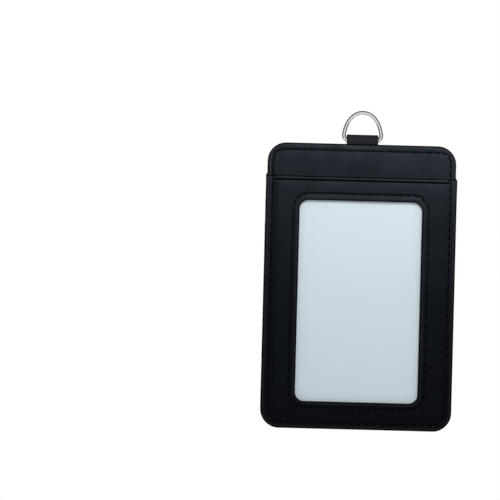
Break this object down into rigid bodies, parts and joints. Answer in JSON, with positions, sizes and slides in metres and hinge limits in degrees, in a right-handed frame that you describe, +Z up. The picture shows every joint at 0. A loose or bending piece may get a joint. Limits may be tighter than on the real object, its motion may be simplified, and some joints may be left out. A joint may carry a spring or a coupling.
{
  "type": "id card holder",
  "caption": "Upright black leather ID card holder: clear card window on one face, stepped card slots on the other, hung from a wire D-ring in a leather tab.",
  "frame": {"origin": "inner top of the D-ring, in the plane of its wire, where a lanyard hook bears", "axes": "+Z up along the hanging holder, -Y out of the clear window, +Y out of the card slots, +X to the right of someone facing the window"},
  "size_m": [0.0736, 0.0086, 0.1229],
  "materials": {
    "cover_leather": "fine-grained smooth leather, satin",
    "seam_leather": "painted cut edge, satin",
    "sewing_thread": "bonded polyester thread",
    "lining_fabric": "fine woven nylon",
    "stiffener": "matt grey board",
    "clear_film": "clear flexible film",
    "card_plastic": "blank card, satin",
    "ring_plating": "polished nickel plate"
  },
  "bodies": {
    "ring": {"d_ring": "ring_plating"},
    "holder": {"ring_tab": "cover_leather", "tab_stitching": "sewing_thread", "window_side_cover": "cover_leather", "slots_side_cover": "cover_leather", "stiffener_board": "stiffener", "window_panel": "cover_leather", "window_film": "clear_film", "window_pocket_welt": "seam_leather", "window_stitching": "sewing_thread", "slot_panel_upper": "cover_leather", "slot_lining_upper": "lining_fabric", "slot_welt_upper": "seam_leather", "slot_panel_middle": "cover_leather", "slot_lining_middle": "lining_fabric", "slot_welt_middle": "seam_leather", "slot_panel_lower": "cover_leather", "slot_lining_lower": "lining_fabric", "slot_welt_lower": "seam_leather", "edge_stitching_window_side": "sewing_thread", "edge_stitching_slots_side": "sewing_thread"},
    "card": {"id_card_blank": "card_plastic"}
  },
  "joints": [
    {"name": "ring_swing", "type": "hinge", "parent": "ring", "child": "holder", "pos_m": [0, 0, -0.00995], "axis": [1, 0, 0], "range_deg": [-110, 110]},
    {"name": "card_slide", "type": "slide", "parent": "holder", "child": "card", "axis": [0, 0, 1], "range_m": [0, 0.125]}
  ]
}
